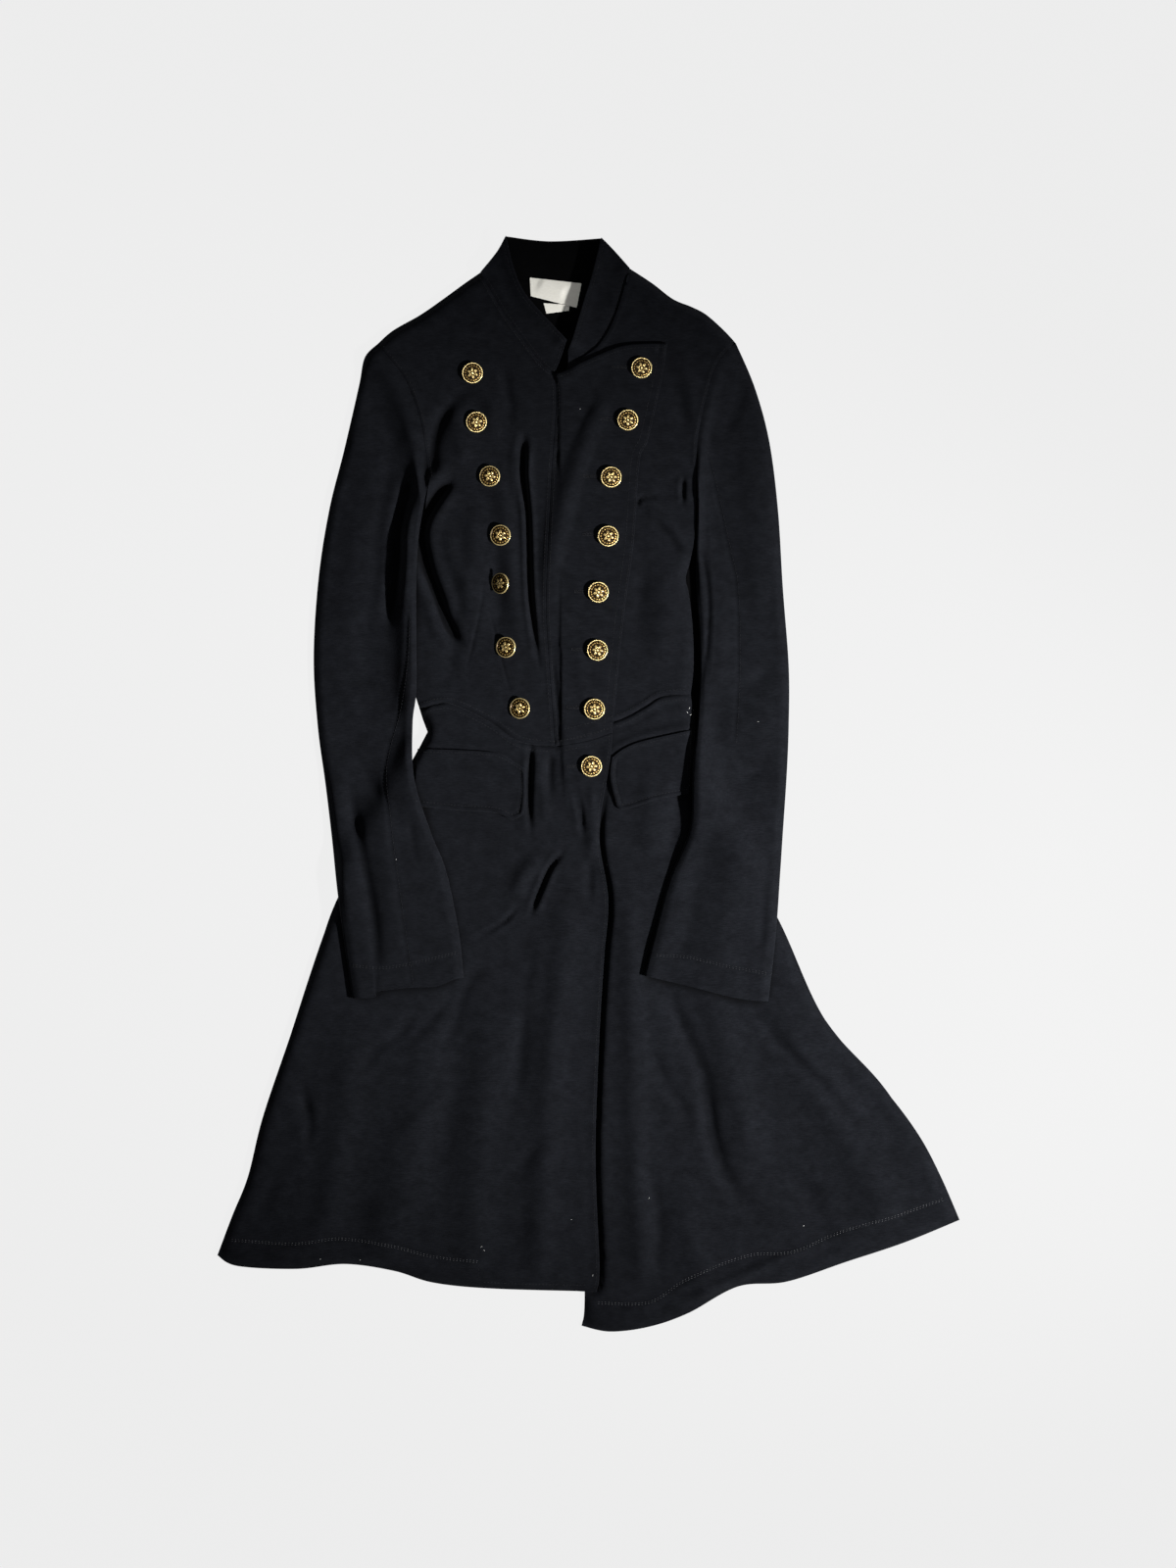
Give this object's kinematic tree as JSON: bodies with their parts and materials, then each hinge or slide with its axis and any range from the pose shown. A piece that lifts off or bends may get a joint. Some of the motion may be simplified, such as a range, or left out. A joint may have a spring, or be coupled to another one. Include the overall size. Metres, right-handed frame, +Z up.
{
  "type": "military coat, double-breasted, laid flat",
  "caption": "Long dark navy double-breasted coat laid flat, with stand collar, two rows of gilt buttons, pocket flaps, long sleeves and a flared skirt",
  "frame": {"origin": "on the surface that the coat lies on, below the middle of its outline", "axes": "+X to the wearer's left, +Y from hem to collar, +Z up from the surface"},
  "size_m": [0.7556, 1.1157, 0.0292],
  "materials": {
    "navy_fleece": "very dark navy brushed cotton fleece with a fine crosswise slub, matte with a slight nap sheen",
    "collar_inside": "black inner face of the stand collar, matte",
    "label_tape": "cream woven tape, bare, with a soft satin surface",
    "gilt_button": "antique gilt metal, bright raised rim, darker recesses"
  },
  "bodies": {
    "root": {"back_bodice": "navy_fleece", "back_skirt": "navy_fleece", "bodice_left": "navy_fleece", "bodice_right": "navy_fleece", "button_left_1": "gilt_button", "button_left_2": "gilt_button", "button_left_3": "gilt_button", "button_left_4": "gilt_button", "button_left_5": "gilt_button", "button_left_6": "gilt_button", "button_left_7": "gilt_button", "button_left_8": "gilt_button", "button_right_1": "gilt_button", "button_right_2": "gilt_button", "button_right_3": "gilt_button", "button_right_4": "gilt_button", "button_right_5": "gilt_button", "button_right_6": "gilt_button", "button_right_7": "gilt_button", "collar_back": "collar_inside", "collar_left": "navy_fleece", "collar_right": "navy_fleece", "front_overlap": "navy_fleece", "label": "label_tape", "pocket_flap_left": "navy_fleece", "pocket_flap_right": "navy_fleece", "size_tab": "label_tape", "skirt_left": "navy_fleece", "skirt_right": "navy_fleece", "sleeve_left_top": "navy_fleece", "sleeve_left_under": "navy_fleece", "sleeve_right_top": "navy_fleece", "sleeve_right_under": "navy_fleece"}
  },
  "joints": []
}
